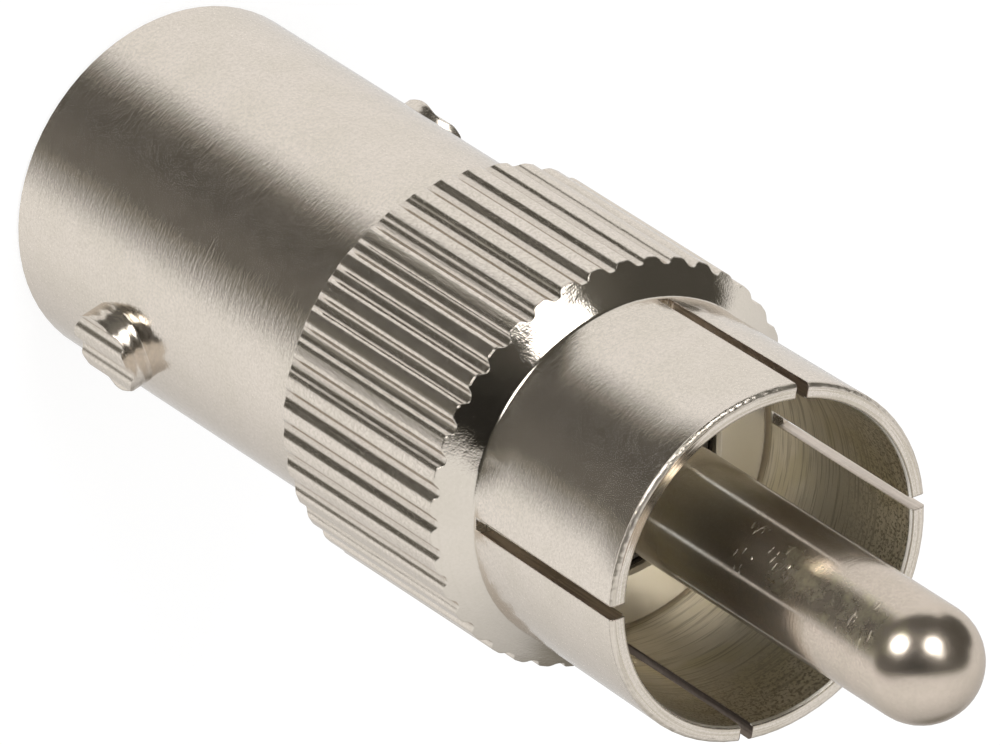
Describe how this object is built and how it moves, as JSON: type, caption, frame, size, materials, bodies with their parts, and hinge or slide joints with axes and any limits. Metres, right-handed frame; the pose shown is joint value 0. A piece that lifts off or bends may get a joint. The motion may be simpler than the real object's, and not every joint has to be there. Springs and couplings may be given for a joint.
{
  "type": "bnc to rca adapter",
  "caption": "Rigid coaxial adapter with a bayonet socket at one end and a phono plug at the other, joined by a straight-knurled grip.",
  "frame": {"origin": "centre of the open end of the bayonet barrel, on which the part stands", "axes": "+Z along the common axis, from the bayonet end to the tip of the phono pin; +X is 40 degrees before the first lug"},
  "size_m": [0.011, 0.011, 0.0337],
  "materials": {
    "nickel_body": "bright nickel plate over turned brass",
    "nickel_pin": "bright nickel plate over turned brass",
    "dark_bush": "moulded, satin",
    "white_dielectric": "turned, satin",
    "gold_contact": "gold-coloured plate"
  },
  "bodies": {
    "root": {"body": "nickel_body", "rca_pin": "nickel_pin", "rca_insulator": "dark_bush", "bnc_insulator": "white_dielectric", "bnc_contact": "gold_contact"}
  },
  "joints": []
}
